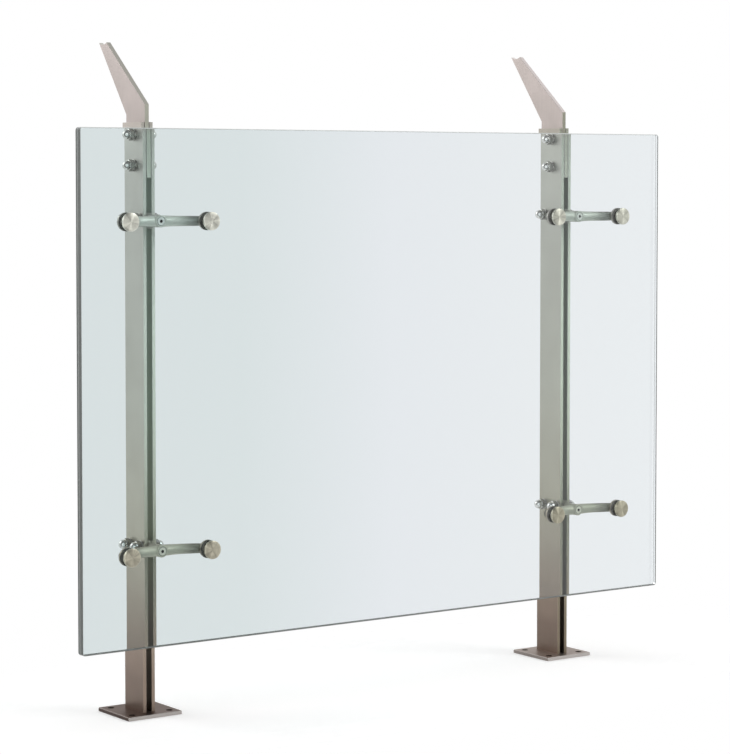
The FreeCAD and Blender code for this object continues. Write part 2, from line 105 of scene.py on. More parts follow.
def maths(tree, operation, *values, clamp=False):
    made = add(tree, "ShaderNodeMath", operation=operation, use_clamp=clamp)
    for socket, source in zip(made.inputs, values):
        feed(tree, socket, source)
    return made.outputs[0]


def vectors(tree, operation, *values, scale=None):
    made = add(tree, "ShaderNodeVectorMath", operation=operation)
    for socket, source in zip(made.inputs, values):
        feed(tree, socket, source)
    if scale is not None:
        feed(tree, made.inputs["Scale"], scale)
    return out(made)


def split(tree, vector):
    return add(tree, "ShaderNodeSeparateXYZ", {"Vector": vector}).outputs


def combine(tree, x, y, z=0.0):
    return add(tree, "ShaderNodeCombineXYZ", {"X": x, "Y": y, "Z": z}).outputs[0]


def noise(tree, vector, size, detail=2.0):
    """Noise whose grains are about so many metres across, along each axis."""
    sizes = size if isinstance(size, tuple) else (size, size, size)
    mapped = add(tree, "ShaderNodeMapping", {"Vector": vector, "Scale": [1 / width for width in sizes]})
    grains = add(tree, "ShaderNodeTexNoise", {"Vector": mapped.outputs[0], "Scale": 1.0, "Detail": detail,
                                              "Roughness": GRAIN_ROUGHNESS})
    return grains.outputs[0]


def opaque(colour):
    return (*colour, 1.0)


def ramp(tree, factor, *stops):
    """Colours or greys that follow a factor, given as pairs of place and colour."""
    made = add(tree, "ShaderNodeValToRGB", {"Fac": factor})
    elements = made.color_ramp.elements
    while len(elements) < len(stops):
        elements.new(0.5)
    for element, (place, colour) in zip(elements, stops):
        element.position = place
        element.color = opaque(colour if isinstance(colour, tuple) else (colour, colour, colour))
    return made.outputs[0]


def blend(tree, factor, first, second, mode="MIX"):
    made = add(tree, "ShaderNodeMix", {"Factor_Float": factor, "A_Color": first, "B_Color": second},
               data_type="RGBA", blend_type=mode)
    return out(made)


def shade(tree, colour, tone, amount=1.0):
    """A colour multiplied by a tone."""
    return blend(tree, amount, colour, tone, "MULTIPLY")


def spread(tree, value, span, levels=(0.0, 1.0), smooth=False):
    """Levels that follow a value over a span, and hold still past its ends."""
    made = add(tree, "ShaderNodeMapRange", {"Value": value, "From Min": span[0], "From Max": span[1],
                                            "To Min": levels[0], "To Max": levels[1]},
               interpolation_type="SMOOTHSTEP" if smooth else "LINEAR")
    return made.outputs[0]


def finish_with(tree, looks, height, relief, volume=None):
    """One surface, whose fine relief follows a height and has a strength and a depth."""
    strength, depth = relief
    bump = add(tree, "ShaderNodeBump", {"Height": height, "Strength": strength, "Distance": depth})
    surface = add(tree, "ShaderNodeBsdfPrincipled", {**looks, "Normal": bump.outputs[0]})
    end = add(tree, "ShaderNodeOutputMaterial", {"Surface": surface.outputs[0]})
    if volume is not None:
        feed(tree, end.inputs["Volume"], volume)


# Steel finishes, with heights and distances in metres

# Painted shade on the steel, by height: darker and warmer towards the floor, and darker again at the very top
FLOOR_SHADE = (
    (0.00, (0.34, 0.262, 0.23)),
    (0.06, (0.355, 0.275, 0.243)),
    (0.14, (0.61, 0.50, 0.44)),
    (0.28, (0.91, 0.865, 0.77)),
    (0.50, (1.00, 1.00, 0.96)),
    (0.80, (0.95, 0.955, 0.95)),
    (0.95, (0.95, 0.955, 0.95)),
    (0.965, (0.80, 0.745, 0.735)),
)
# Painted light and shade on the bars' and brackets' front edges, by height
FRONT_EDGE_LIGHT_BY_HEIGHT = (
    (0.03, 1.00),
    (0.06, 0.93),
    (0.09, 0.82),
    (0.13, 0.74),
    (0.20, 0.66),
    (0.26, 0.62),
    (0.36, 0.82),
    (0.45, 0.94),
    (0.63, 1.00),
    (0.74, 0.92),
    (0.85, 0.78),
    (0.93, 0.66),
    (0.97, 0.60),
)
# Spans over which one tone gives way to another
POST_TO_POST = (-0.3, 0.3)
ABOVE_FOOT = (0.08, 0.13)
LOW_TO_HIGH = (0.3, 0.8)
ARM_TO_END = (0.03, 0.062)
# Spans of a face's lean: to the side or front, upward, from front to back, and round a corner
SQUARE_ON = (0.4, 0.9)
LEANING_UP = (0.2, 0.5)
FRONT_TO_BACK = (-0.7, 0.1)
CORNER_BEND = (0.995, 0.90)
# Spans of noise
MOST_NOISE = (0.3, 0.7)
TONE_NOISE = (0.32, 0.68)
# Shine of the grain against its finish, of the worn and highlit edges and of the bars' front edges
SHINIER_GRAIN, DULLER_GRAIN = 0.05, 0.06
WORN_SHINE = 0.06
DULL_FRONT = 0.22
# Reach, strength and colour of edges worn by handling, which also carry a painted highlight
BEVEL_SAMPLES = 4
BRUSHED_WEAR_AND_HIGHLIGHT = (0.0012, 0.35, (0.80, 0.78, 0.75))
TURNED_WEAR_AND_HIGHLIGHT = (0.001, 0.3, (0.80, 0.78, 0.74))
# Grain sizes, the share of fine grain in the tone, and relief
BRUSHED_PATCH, BRUSHED_SHARE, BRUSHED_RELIEF = 0.06, 0.5, (0.12, 0.00006)
TURNED_PATCH, TURNED_SHARE, TURNED_RELIEF = 0.012, 0.6, (0.15, 0.00005)
RING_GRAIN = (0.0013, 0.05, 0.05)
# Gap between the bars, and the bolt holes of the floor plates, painted dark inside as shade
GAP_MARGIN = 0.0003
BOLT_SPACING, BOLT_HOLE, HOLE_MARGIN = 0.070, 0.011, 0.0006
HOLE_SHADE = (0.05, 0.04, 0.035)
# Wedges of painted sheen on a turned face: their size, how they vary from piece to piece, and their tones
WEDGE_SIZE, WEDGE_VARIETY = 0.55, (30.0, 30.0, 30.0)
WEDGE_SHEEN = ((0.36, 0.45), (0.62, 1.0))
# Painted shade on a nut's hexagon, round the rim of a screw head, and in the screw's socket
HEXAGON_FADE, HEXAGON_SHADE = 0.0004, 0.5
RIM_SHADE, RIM_SHADE_FADE, RIM_SHADE_COVER = (0.06, 0.06, 0.055), 0.0003, 0.8
SOCKET_SHADE, SOCKET_MOUTH = (0.025, 0.025, 0.025), (-0.0003, -0.0001)


def two_tone(tree, fine, coarse, fine_share, dark, pale):
    """A colour between dark and pale that follows fine grain and coarse patches."""
    grain = maths(tree, "MULTIPLY", fine, fine_share)
    tone = maths(tree, "MULTIPLY_ADD", coarse, 1 - fine_share, grain)
    return ramp(tree, tone, (TONE_NOISE[0], dark), (TONE_NOISE[1], pale))


def grain_gloss(tree, grain, roughness):
    return spread(tree, grain, MOST_NOISE, (roughness - SHINIER_GRAIN, roughness + DULLER_GRAIN))


def left_to_right(tree, across, left, right, span=POST_TO_POST):
    """A tone that changes from the left of the panel to the right."""
    return ramp(tree, spread(tree, across, span), (0.0, left), (1.0, right))


def shade_by_post(tree, colour, place, post_shade, above_foot=True):
    """Painted shade that differs a little from the left post to the right one."""
    across, _, up = split(tree, place)
    shown = spread(tree, up, ABOVE_FOOT) if above_foot else 1.0
    return shade(tree, colour, left_to_right(tree, across, *post_shade), shown)


def shade_towards_floor(tree, colour, place, low_shade):
    """Painted shade: steel grows darker and warmer towards the floor, and darker at the very top."""
    up = split(tree, place)["Z"]
    colour = shade(tree, colour, ramp(tree, up, *FLOOR_SHADE))
    if low_shade != 1.0:
        colour = shade(tree, colour, spread(tree, up, LOW_TO_HIGH, (low_shade, 1.0)))
    return colour


def wear_and_highlight_on_edges(tree, colour, reach, strength, edge_colour):
    """The colour with its outer edges worn by handling and given a painted highlight, and the mask of those
    edges.
    """
    softened = add(tree, "ShaderNodeBevel", {"Radius": reach}, samples=BEVEL_SAMPLES).outputs[0]
    unsoftened = add(tree, "ShaderNodeNewGeometry").outputs["Normal"]
    edge_wear_and_highlight = spread(tree, vectors(tree, "DOT_PRODUCT", softened, unsoftened), CORNER_BEND)
    return blend(tree, maths(tree, "MULTIPLY", edge_wear_and_highlight, strength), colour, opaque(edge_colour)), edge_wear_and_highlight


def in_bolt_hole(tree, from_post, back):
    """A mask of the floor plates' bolt holes."""
    from_middle = maths(tree, "ABSOLUTE", maths(tree, "SUBTRACT", back, post_y))
    beside = maths(tree, "SUBTRACT", from_post, BOLT_SPACING / 2)
    behind = maths(tree, "SUBTRACT", from_middle, BOLT_SPACING / 2)
    from_hole = vectors(tree, "LENGTH", combine(tree, beside, behind))
    return maths(tree, "LESS_THAN", from_hole, BOLT_HOLE / 2 + HOLE_MARGIN)


def brushed_steel(name, pale, dark, roughness, grain, metal=1.0, grazing_tint=WHITE, cast=True, low_shade=1.0,
                  post_shade=None, side_light_and_shade=1.0, lit_front_edges=None, lit_slanted_edges=None, gap_light_and_shade=None,
                  rough_back=None, arm_end_shade=1.0, shaded_bolt_holes=False):
    """Metal with fine brush lines along the long side of the grain, slow cloudy patches, worn edges with a
    painted highlight, and painted light and shade.
    """
    finish, tree = new_material(name)
    place = object_place(tree)
    across, back, up = split(tree, place)
    normal = split(tree, add(tree, "ShaderNodeNewGeometry").outputs["Normal"])
    from_post = maths(tree, "ABSOLUTE", maths(tree, "SUBTRACT", maths(tree, "ABSOLUTE", across), post_x))
    lines = noise(tree, place, grain, detail=4.0)
    patches = noise(tree, place, BRUSHED_PATCH)
    colour = two_tone(tree, lines, patches, BRUSHED_SHARE, dark, pale)
    # Painted light and shade in the gap between the bars
    if gap_light_and_shade is not None:
        inside = maths(tree, "LESS_THAN", from_post, bar_gap / 2 + GAP_MARGIN)
        colour = blend(tree, inside, colour, opaque(gap_light_and_shade))
    # Painted shade that differs from post to post
    if post_shade is not None:
        colour = shade_by_post(tree, colour, place, post_shade, above_foot=cast)
    # Painted shade on faces that look sideways
    if side_light_and_shade != 1.0:
        sideways = maths(tree, "ABSOLUTE", normal["X"])
        colour = shade(tree, colour, spread(tree, sideways, SQUARE_ON, (1.0, side_light_and_shade)))
    if rough_back is not None:
        polished = spread(tree, normal["Y"], FRONT_TO_BACK, (1.0, 0.0), smooth=True)
        colour = shade(tree, colour, ramp(tree, polished, (0.0, rough_back), (1.0, 1.0)))
    # Painted shade towards the arm ends
    if arm_end_shade != 1.0:
        colour = shade(tree, colour, spread(tree, from_post, ARM_TO_END, (1.0, arm_end_shade), smooth=True))
    # Painted light and shade on faces that look to the front or the back
    if lit_front_edges is not None:
        forward = spread(tree, maths(tree, "ABSOLUTE", normal["Y"]), SQUARE_ON)
        edge = left_to_right(tree, across, *lit_front_edges)
        if cast:
            edge = shade(tree, edge, ramp(tree, up, *FRONT_EDGE_LIGHT_BY_HEIGHT))
        colour = blend(tree, forward, colour, edge)
    # Painted light on faces that lean upward, brighter on the right bracket
    if lit_slanted_edges is not None:
        upward = spread(tree, normal["Z"], LEANING_UP)
        colour = blend(tree, upward, colour, left_to_right(tree, across, *lit_slanted_edges))
    # Edges worn by handling, with a painted highlight
    colour, edge_wear_and_highlight = wear_and_highlight_on_edges(tree, colour, *BRUSHED_WEAR_AND_HIGHLIGHT)
    # Painted shade inside the bolt holes
    if shaded_bolt_holes:
        colour = blend(tree, in_bolt_hole(tree, from_post, back), colour, opaque(HOLE_SHADE))
    # Painted shade towards the floor
    if cast:
        colour = shade_towards_floor(tree, colour, place, low_shade)
    gloss = maths(tree, "MULTIPLY_ADD", edge_wear_and_highlight, -WORN_SHINE, grain_gloss(tree, lines, roughness))
    if lit_front_edges is not None:
        gloss = maths(tree, "MULTIPLY_ADD", forward, DULL_FRONT, gloss)
    finish_with(tree, {"Base Color": colour, "Metallic": metal, "Roughness": gloss,
                       "Specular Tint": opaque(grazing_tint)}, lines, BRUSHED_RELIEF)
    return finish


def turned_steel(name, pale, dark, roughness, stretch, metal=1.0, cast=True, low_shade=1.0, post_shade=None,
                 painted_sheen_wedges=0.0, shaded_hexagon=None, shaded_rim=None, shaded_socket=None):
    """Lathe-turned metal: rings round each piece's own axis, which fan the shine out across them."""
    finish, tree = new_material(name)
    place = object_place(tree)
    centre = add(tree, "ShaderNodeAttribute", attribute_name="centre").outputs["Vector"]
    facing = add(tree, "ShaderNodeAttribute", attribute_name="facing").outputs["Vector"]
    offset = vectors(tree, "SUBTRACT", place, centre)
    height = vectors(tree, "DOT_PRODUCT", offset, facing)
    outward = vectors(tree, "SUBTRACT", offset, vectors(tree, "SCALE", facing, scale=height))
    radius = vectors(tree, "LENGTH", outward)
    centre_x, _, centre_z = split(tree, centre)
    rings = noise(tree, combine(tree, radius, centre_x, centre_z), RING_GRAIN, detail=3.0)
    patches = noise(tree, place, TURNED_PATCH)
    colour = two_tone(tree, rings, patches, TURNED_SHARE, dark, pale)
    # Painted sheen in wedges round each piece's axis
    if painted_sheen_wedges:
        own_start = vectors(tree, "MULTIPLY", centre, WEDGE_VARIETY)
        round_axis = vectors(tree, "ADD", vectors(tree, "NORMALIZE", outward), own_start)
        wedges = ramp(tree, noise(tree, round_axis, WEDGE_SIZE), *WEDGE_SHEEN)
        colour = shade(tree, colour, wedges, painted_sheen_wedges)
    # Painted shade on the nut's hexagon
    if shaded_hexagon is not None:
        below = (shaded_hexagon - HEXAGON_FADE, shaded_hexagon)
        colour = shade(tree, colour, spread(tree, height, below, (HEXAGON_SHADE, 1.0)))
    # Painted shade that differs from post to post
    if post_shade is not None:
        colour = shade_by_post(tree, colour, place, post_shade)
    # Painted shade towards the floor
    if cast:
        colour = shade_towards_floor(tree, colour, place, low_shade)
    # Edges worn by handling, with a painted highlight
    colour, _ = wear_and_highlight_on_edges(tree, colour, *TURNED_WEAR_AND_HIGHLIGHT)
    # Painted shade round the rim of the screw head
    if shaded_rim is not None:
        rim = spread(tree, radius, (shaded_rim - RIM_SHADE_FADE, shaded_rim), (0.0, RIM_SHADE_COVER))
        colour = blend(tree, rim, colour, opaque(RIM_SHADE))
    # Painted shade in the screw's socket
    if shaded_socket is not None:
        deep = spread(tree, height, SOCKET_MOUTH, (1.0, 0.0))
        inside = maths(tree, "MULTIPLY", deep, maths(tree, "LESS_THAN", radius, shaded_socket))
        colour = blend(tree, inside, colour, opaque(SOCKET_SHADE))
    gloss = grain_gloss(tree, rings, roughness)
    finish_with(tree, {"Base Color": colour, "Metallic": metal, "Roughness": gloss, "Anisotropic": stretch,
                       "Tangent": outward}, rings, TURNED_RELIEF)
    return finish


# Glass, rubber and plastic

# Depth of the ground strip along each edge of the pane, from ground to clear, and of the front arris
LEFT_STRIP, RIGHT_STRIP, END_STRIP = (0.0009, 0.0013), (0.0029, 0.0034), (0.0011, 0.0016)
FRONT_ARRIS = 0.0012
# Painted light and shade on the ground edges: dark below and pale above, darker left and lighter right, and
# bands through the thickness of the sides
PANE_HEIGHT, END_EDGE_LIGHT_AND_SHADE = (-0.4, 0.4), ((0.0, (0.12, 0.116, 0.11)), (1.0, (0.64, 0.66, 0.65)))
PANE_WIDTH, SIDE_EDGE_LIGHT_AND_SHADE = (-0.6, 0.6), ((0.155, 0.168, 0.162), (0.21, 0.215, 0.215))
SIDE_BANDS = ((0.0, 0.36), (0.22, 0.38), (0.26, 0.95), (0.32, 0.95), (0.36, 0.27), (0.5, 0.27))
BAND_SPAN, BAND_GAIN = 0.5, 2.0
SPECK_SIZE, SPECK_TONES = 0.0015, ((0.3, 0.94), (0.7, 1.0))
# Tint of the clear faces from left to right, and the green of the depth
FACE_TINT = ((0.25, (0.750, 0.797, 0.815)), (0.5, (0.832, 0.845, 0.888)), (0.75, (0.840, 0.850, 0.882)))
DEPTH_GREEN, DEPTH_DENSITY = (0.375, 0.80, 0.60), 4.0
# Faint smears and waves of float glass, and how far the ground edges are dull and cloudy
SMEAR_SIZE, SMEAR_NOISE, SMEAR_DULL = (0.25, 0.25, 0.4), (0.35, 0.75), (0.0, 0.02)
WAVE_SIZE, WAVE_RELIEF = 0.3, (0.008, 0.001)
GROUND_DULL, GROUND_CLEAR = 0.45, 0.3
GLASS_IOR = 1.5
# Grain of rubber and plastic
SKIN_GRAIN, SKIN_CLOUD, SKIN_SWING, SKIN_RELIEF = 0.0006, 0.006, 0.08, (0.3, 0.0001)


def ground_mask(tree, across, back, side_gap, end_gap):
    """The ground strips: round the ends and the left side, and on the right along the front arris only."""
    on_right = maths(tree, "GREATER_THAN", across, 0.0)
    on_left = maths(tree, "SUBTRACT", 1.0, on_right)
    on_front = maths(tree, "LESS_THAN", back, FRONT_ARRIS - glass_half.y)
    right_front = maths(tree, "MULTIPLY", on_right, on_front)
    left = maths(tree, "MULTIPLY", spread(tree, side_gap, LEFT_STRIP, (1.0, 0.0)), on_left)
    right = maths(tree, "MULTIPLY", spread(tree, side_gap, RIGHT_STRIP, (1.0, 0.0)), right_front)
    end = spread(tree, end_gap, END_STRIP, (1.0, 0.0))
    return maths(tree, "MAXIMUM", end, maths(tree, "MAXIMUM", left, right))


def clear_glass(name):
    """Clear float glass that greens with thickness; its ground edges are grey, scatter light and carry
    painted light and shade.
    """
    finish, tree = new_material(name)
    place = object_place(tree)
    across, back, up = split(tree, vectors(tree, "SUBTRACT", place, tuple(glass_middle)))
    side_gap = maths(tree, "SUBTRACT", glass_half.x, maths(tree, "ABSOLUTE", across))
    end_gap = maths(tree, "SUBTRACT", glass_half.z, maths(tree, "ABSOLUTE", up))
    ground = ground_mask(tree, across, back, side_gap, end_gap)

    # Painted light and shade on the ground edges
    end_tone = ramp(tree, spread(tree, up, PANE_HEIGHT), *END_EDGE_LIGHT_AND_SHADE)
    side_light_and_shade = left_to_right(tree, across, *SIDE_EDGE_LIGHT_AND_SHADE, PANE_WIDTH)
    through = spread(tree, back, (-glass_half.y, glass_half.y), (0.0, BAND_SPAN))
    side_light_and_shade = shade(tree, side_light_and_shade, maths(tree, "MULTIPLY", BAND_GAIN, ramp(tree, through, *SIDE_BANDS)))
    tone = blend(tree, maths(tree, "LESS_THAN", side_gap, end_gap), end_tone, side_light_and_shade)
    tone = shade(tree, tone, ramp(tree, noise(tree, place, SPECK_SIZE), *SPECK_TONES))
    tint = ramp(tree, spread(tree, across, PANE_WIDTH), *FACE_TINT)
    colour = blend(tree, ground, tint, tone)

    smear = spread(tree, noise(tree, place, SMEAR_SIZE), SMEAR_NOISE, SMEAR_DULL)
    gloss = maths(tree, "MULTIPLY_ADD", ground, GROUND_DULL, smear)
    clear = spread(tree, ground, (0.0, 1.0), (1.0, GROUND_CLEAR))
    waves = noise(tree, place, WAVE_SIZE, detail=1.0)
    depth = add(tree, "ShaderNodeVolumeAbsorption", {"Color": opaque(DEPTH_GREEN), "Density": DEPTH_DENSITY})
    finish_with(tree, {"Base Color": colour, "Roughness": gloss, "IOR": GLASS_IOR,
                       "Transmission Weight": clear}, waves, WAVE_RELIEF, depth.outputs[0])
    return finish


def moulded(name, pale, dark, roughness):
    """Rubber or plastic with a fine grain."""
    finish, tree = new_material(name)
    place = object_place(tree)
    grain = noise(tree, place, SKIN_GRAIN)
    cloud = noise(tree, place, SKIN_CLOUD)
    colour = ramp(tree, cloud, (MOST_NOISE[0], dark), (MOST_NOISE[1], pale))
    gloss = spread(tree, grain, MOST_NOISE, (roughness - SKIN_SWING, roughness + SKIN_SWING))
    finish_with(tree, {"Base Color": colour, "Roughness": gloss}, grain, SKIN_RELIEF)
    return finish


# Looks of each finish; pairs of painted shade and of lit edges are for the left and the right post

BRUSHED = {
    "plate_steel": dict(
        pale=(0.43, 0.382, 0.357), dark=(0.305, 0.266, 0.246), roughness=0.40, grain=(0.03, 0.0008, 0.0008),
        # Painted light on the front edges, painted shade on the sides, on the left plate and in the bolt
        # holes
        lit_front_edges=((0.48, 0.45, 0.43), (0.52, 0.49, 0.47)), side_light_and_shade=0.7, post_shade=((0.36, 0.315, 0.31), 1.0),
        grazing_tint=(0.78, 0.73, 0.70), cast=False, shaded_bolt_holes=True),
    "post_steel": dict(
        pale=(0.585, 0.577, 0.535), dark=(0.488, 0.478, 0.44), roughness=0.36, grain=(0.0008, 0.0008, 0.06),
        # Painted light on the front edges, painted shade on the right post, and painted light and shade in
        # the gap
        lit_front_edges=((0.98, 1.0, 0.92), (0.75, 0.82, 0.69)), post_shade=(1.0, (0.80, 0.815, 0.785)),
        gap_light_and_shade=(0.56, 0.62, 0.57)),
    "bracket_steel": dict(
        pale=(0.56, 0.53, 0.51), dark=(0.46, 0.44, 0.42), roughness=0.34, grain=(0.0008, 0.0008, 0.03),
        # Painted light and shade on the front and slanted edges
        lit_front_edges=((0.90, 0.96, 0.84), (0.66, 0.70, 0.58)),
        lit_slanted_edges=((0.66, 0.69, 0.63), (0.97, 0.95, 0.94))),
    "cast_steel": dict(
        pale=(0.84, 0.865, 0.79), dark=(0.73, 0.755, 0.69), roughness=0.50, grain=(0.003, 0.003, 0.003),
        # Painted shade on the right post, towards the arm ends and low down
        metal=0.6, post_shade=(1.0, (0.715, 0.75, 0.705)), arm_end_shade=0.45, low_shade=0.86,
        rough_back=(0.60, 0.575, 0.59)),
    "stud_steel": dict(
        pale=(0.70, 0.69, 0.66), dark=(0.58, 0.57, 0.54), roughness=0.28, grain=(0.001, 0.001, 0.001)),
}
TURNED = {
    "turned_steel": dict(
        pale=(0.97, 0.97, 0.87), dark=(0.80, 0.80, 0.71), roughness=0.34, stretch=0.85,
        # Painted shade on the right post and low down, and painted sheen
        post_shade=(1.0, (0.785, 0.79, 0.77)), low_shade=0.81, painted_sheen_wedges=0.6),
    # Rear discs painted dark as painted shade
    "disc_steel": dict(
        pale=(0.44, 0.425, 0.385), dark=(0.32, 0.305, 0.275), roughness=0.42, stretch=0.5),
    "screw_steel": dict(
        pale=(0.97, 0.98, 0.94), dark=(0.88, 0.89, 0.85), roughness=0.45, stretch=0.3, metal=0.15,
        # Painted shade on the right post, round the rim of the head and in its socket
        post_shade=(1.0, (0.80, 0.84, 0.78)), shaded_rim=0.0068, shaded_socket=0.0032),
    "polished_steel": dict(
        pale=(0.74, 0.74, 0.71), dark=(0.62, 0.62, 0.59), roughness=0.13, stretch=0.3, cast=False,
        # Painted shade on the hexagon of each dome nut
        shaded_hexagon=0.008),
    # Washers painted darker as painted shade beside the nuts
    "washer_steel": dict(
        pale=(0.46, 0.45, 0.42), dark=(0.36, 0.35, 0.33), roughness=0.28, stretch=0.4, cast=False),
}
MOULDED = {
    "gasket_rubber": dict(pale=(0.13, 0.12, 0.105), dark=(0.09, 0.083, 0.073), roughness=0.6),
    "sleeve_plastic": dict(pale=(0.75, 0.76, 0.75), dark=(0.66, 0.67, 0.66), roughness=0.45),
    "shim_plastic": dict(pale=(0.05, 0.05, 0.05), dark=(0.03, 0.03, 0.03), roughness=0.5),
}

finishes = {"glass": clear_glass("clear_glass")}
for make_finish, looks in ((brushed_steel, BRUSHED), (turned_steel, TURNED), (moulded, MOULDED)):
    for name, look in looks.items():
        finishes[name] = make_finish(name, **look)


# Turned and hexagonal fasteners, one Geometry Nodes tree for all

STEPS_AROUND, CAP_STEPS_AROUND = 72, 96
SHARP_CORNER = math.radians(35)
FORWARD = Vector((0.0, -1.0, 0.0))


def sample_profile(tree, profile, value, row, kind):
    return out(add(tree, "GeometryNodeSampleIndex", {"Geometry": profile, "Value": value, "Index": row},
                   data_type=kind, domain="POINT"))


def named_attribute(tree, name, kind):
    return out(add(tree, "GeometryNodeInputNamedAttribute", {"Name": name}, data_type=kind))


def fastener_tree():
    """Turns a profile round its axis, cuts the rows marked as hexagon, and sets a copy on each seat."""
    tree = bpy.data.node_groups.new("turned_fasteners", "GeometryNodeTree")
    wanted = {"Seats": "Geometry", "Profile": "Object", "Across flats": "Float", "Steps around": "Int",
              "Finish": "Material"}
    names = {}
    for name, kind in wanted.items():
        socket = tree.interface.new_socket(name, in_out="INPUT", socket_type="NodeSocket" + kind)
        names[name] = socket.identifier
    tree.interface.new_socket("Fasteners", in_out="OUTPUT", socket_type="NodeSocketGeometry")
    given = add(tree, "NodeGroupInput").outputs
    profile = add(tree, "GeometryNodeObjectInfo", {"Object": given["Profile"]}).outputs["Geometry"]
    size = add(tree, "GeometryNodeAttributeDomainSize", {"Geometry": profile}, component="MESH")
    rows = size.outputs["Point Count"]
    columns = maths(tree, "ADD", given["Steps around"], 1.0)
    grid = add(tree, "GeometryNodeMeshGrid", {"Vertices X": columns, "Vertices Y": rows}).outputs["Mesh"]

    index = add(tree, "GeometryNodeInputIndex").outputs[0]
    column = maths(tree, "FLOOR", maths(tree, "DIVIDE", maths(tree, "ADD", index, 0.5), rows))
    row = maths(tree, "SUBTRACT", index, maths(tree, "MULTIPLY", column, rows))
    position = add(tree, "GeometryNodeInputPosition").outputs[0]
    shape = sample_profile(tree, profile, position, row, "FLOAT_VECTOR")
    flats = sample_profile(tree, profile, named_attribute(tree, "hexagon", "FLOAT"), row, "FLOAT")

    step = maths(tree, "DIVIDE", 2 * math.pi, given["Steps around"])
    angle = maths(tree, "MULTIPLY", column, step)
    from_flat = maths(tree, "SUBTRACT", maths(tree, "MODULO", angle, math.pi / 3), math.pi / 6)
    half_flats = maths(tree, "MULTIPLY", given["Across flats"], 0.5)
    hexagon = maths(tree, "DIVIDE", half_flats, maths(tree, "COSINE", from_flat))
    limit, _, height = split(tree, shape)
    cut = maths(tree, "SUBTRACT", limit, maths(tree, "MINIMUM", limit, hexagon))
    radius = maths(tree, "SUBTRACT", limit, maths(tree, "MULTIPLY", cut, flats))
    point = combine(tree, maths(tree, "MULTIPLY", radius, maths(tree, "COSINE", angle)),
                    maths(tree, "MULTIPLY", radius, maths(tree, "SINE", angle)), height)
    turned = add(tree, "GeometryNodeSetPosition", {"Geometry": grid, "Position": point}).outputs[0]
    closed = add(tree, "GeometryNodeMergeByDistance", {"Geometry": turned, "Distance": SAME_POINT}).outputs[0]
    smooth = add(tree, "GeometryNodeSetShadeSmooth", {"Geometry": closed, "Shade Smooth": True}).outputs[0]

    facing = named_attribute(tree, "facing", "FLOAT_VECTOR")
    turn = add(tree, "FunctionNodeAlignRotationToVector", {"Vector": facing}, axis="Z").outputs[0]
    copies = add(tree, "GeometryNodeInstanceOnPoints",
                 {"Points": given["Seats"], "Instance": smooth, "Rotation": turn})
    real = add(tree, "GeometryNodeRealizeInstances", {"Geometry": copies.outputs[0]}).outputs[0]
    dressed = add(tree, "GeometryNodeSetMaterial", {"Geometry": real, "Material": given["Finish"]}).outputs[0]
    add(tree, "NodeGroupOutput", {"Fasteners": dressed})
    return tree, names


def merged_copy(node):
    """A node's triangles with their shared corners joined."""
    mesh = bmesh.new()
    mesh.from_mesh(cad[node].data)
    bmesh.ops.remove_doubles(mesh, verts=mesh.verts, dist=SAME_POINT)
    return mesh


def solids_of(node):
    """The lowest and highest corners of each separate solid in a node."""
    mesh = merged_copy(node)
    left, boxes = set(mesh.verts), []
    while left:
        queue, found = [left.pop()], []
        while queue:
            corner = queue.pop()
            found.append(corner.co.copy())
            for edge in corner.link_edges:
                other = edge.other_vert(corner)
                if other in left:
                    left.remove(other)
                    queue.append(other)
        boxes.append((Vector(map(min, zip(*found))), Vector(map(max, zip(*found)))))
    mesh.free()
    return boxes


def front_seats(node):
    """The middle of each solid's front face, facing out of the panel."""
    seats = []
    for low, high in solids_of(node):
        middle = (low + high) / 2
        seats.append((Vector((middle.x, low.y, middle.z)), FORWARD))
    return seats


def bar_seats(node, plate):
    """The middle of each solid's face towards the post, facing away from it."""
    foot_low, foot_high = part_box(plate)
    foot_x = (foot_low.x + foot_high.x) / 2
    seats = []
    for low, high in solids_of(node):
        middle = (low + high) / 2
        outward = 1.0 if middle.x > foot_x else -1.0
        near_x = low.x if outward > 0 else high.x
        seats.append((Vector((near_x, middle.y, middle.z)), Vector((outward, 0.0, 0.0))))
    return seats


def point_object(name, points, marks):
    """Loose points with their attributes, each given as a name, a type, its field and its flat values."""
    mesh = bpy.data.meshes.new(name)
    mesh.from_pydata(points, [], [])
    for mark, kind, field, values in marks:
        mesh.attributes.new(mark, kind, "POINT").data.foreach_set(field, values)
    holder = bpy.data.objects.new(name, mesh)
    bpy.context.collection.objects.link(holder)
    return holder


def profile_object(rows):
    points = [(radius * MM, 0.0, height * MM) for radius, height, _ in rows]
    flats = [float(flat) for _, _, flat in rows]
    return point_object("profile", points, [("hexagon", "FLOAT", "value", flats)])


def seat_object(seats):
    marks = [(name, "FLOAT_VECTOR", "vector", [number for seat in seats for number in seat[index]])
             for index, name in enumerate(("centre", "facing"))]
    return point_object("seats", [place for place, _ in seats], marks)


def show_piece(name, mesh, node):
    mesh.set_sharp_from_angle(angle=SHARP_CORNER)
    piece = bpy.data.objects.new(name, mesh)
    bpy.context.collection.objects.link(piece)
    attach(piece, "root")
    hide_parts(node)


def quarter(radius, middle_height, steps=8):
    """A quarter circle from the side up to the axis."""
    turns = [math.pi / 2 * step / steps for step in range(1, steps + 1)]
    return [(radius * math.cos(turn), middle_height + radius * math.sin(turn), 0) for turn in turns]


def rounded_edge(radius, top, size, steps=3):
    """A small round from a side wall up to a flat face."""
    turns = [math.pi / 2 * step / steps for step in range(steps + 1)]
    return [(radius - size * (1 - math.cos(turn)), top - size * (1 - math.sin(turn)), 0) for turn in turns]


def plain(*points):
    """Rows of a profile that stay round."""
    return [(radius, height, 0) for radius, height in points]


def flat_sided(*points):
    """Rows of a profile that the hexagon cuts."""
    return [(radius, height, 1) for radius, height in points]


# Profiles in millimetres, as radius and height above the seat

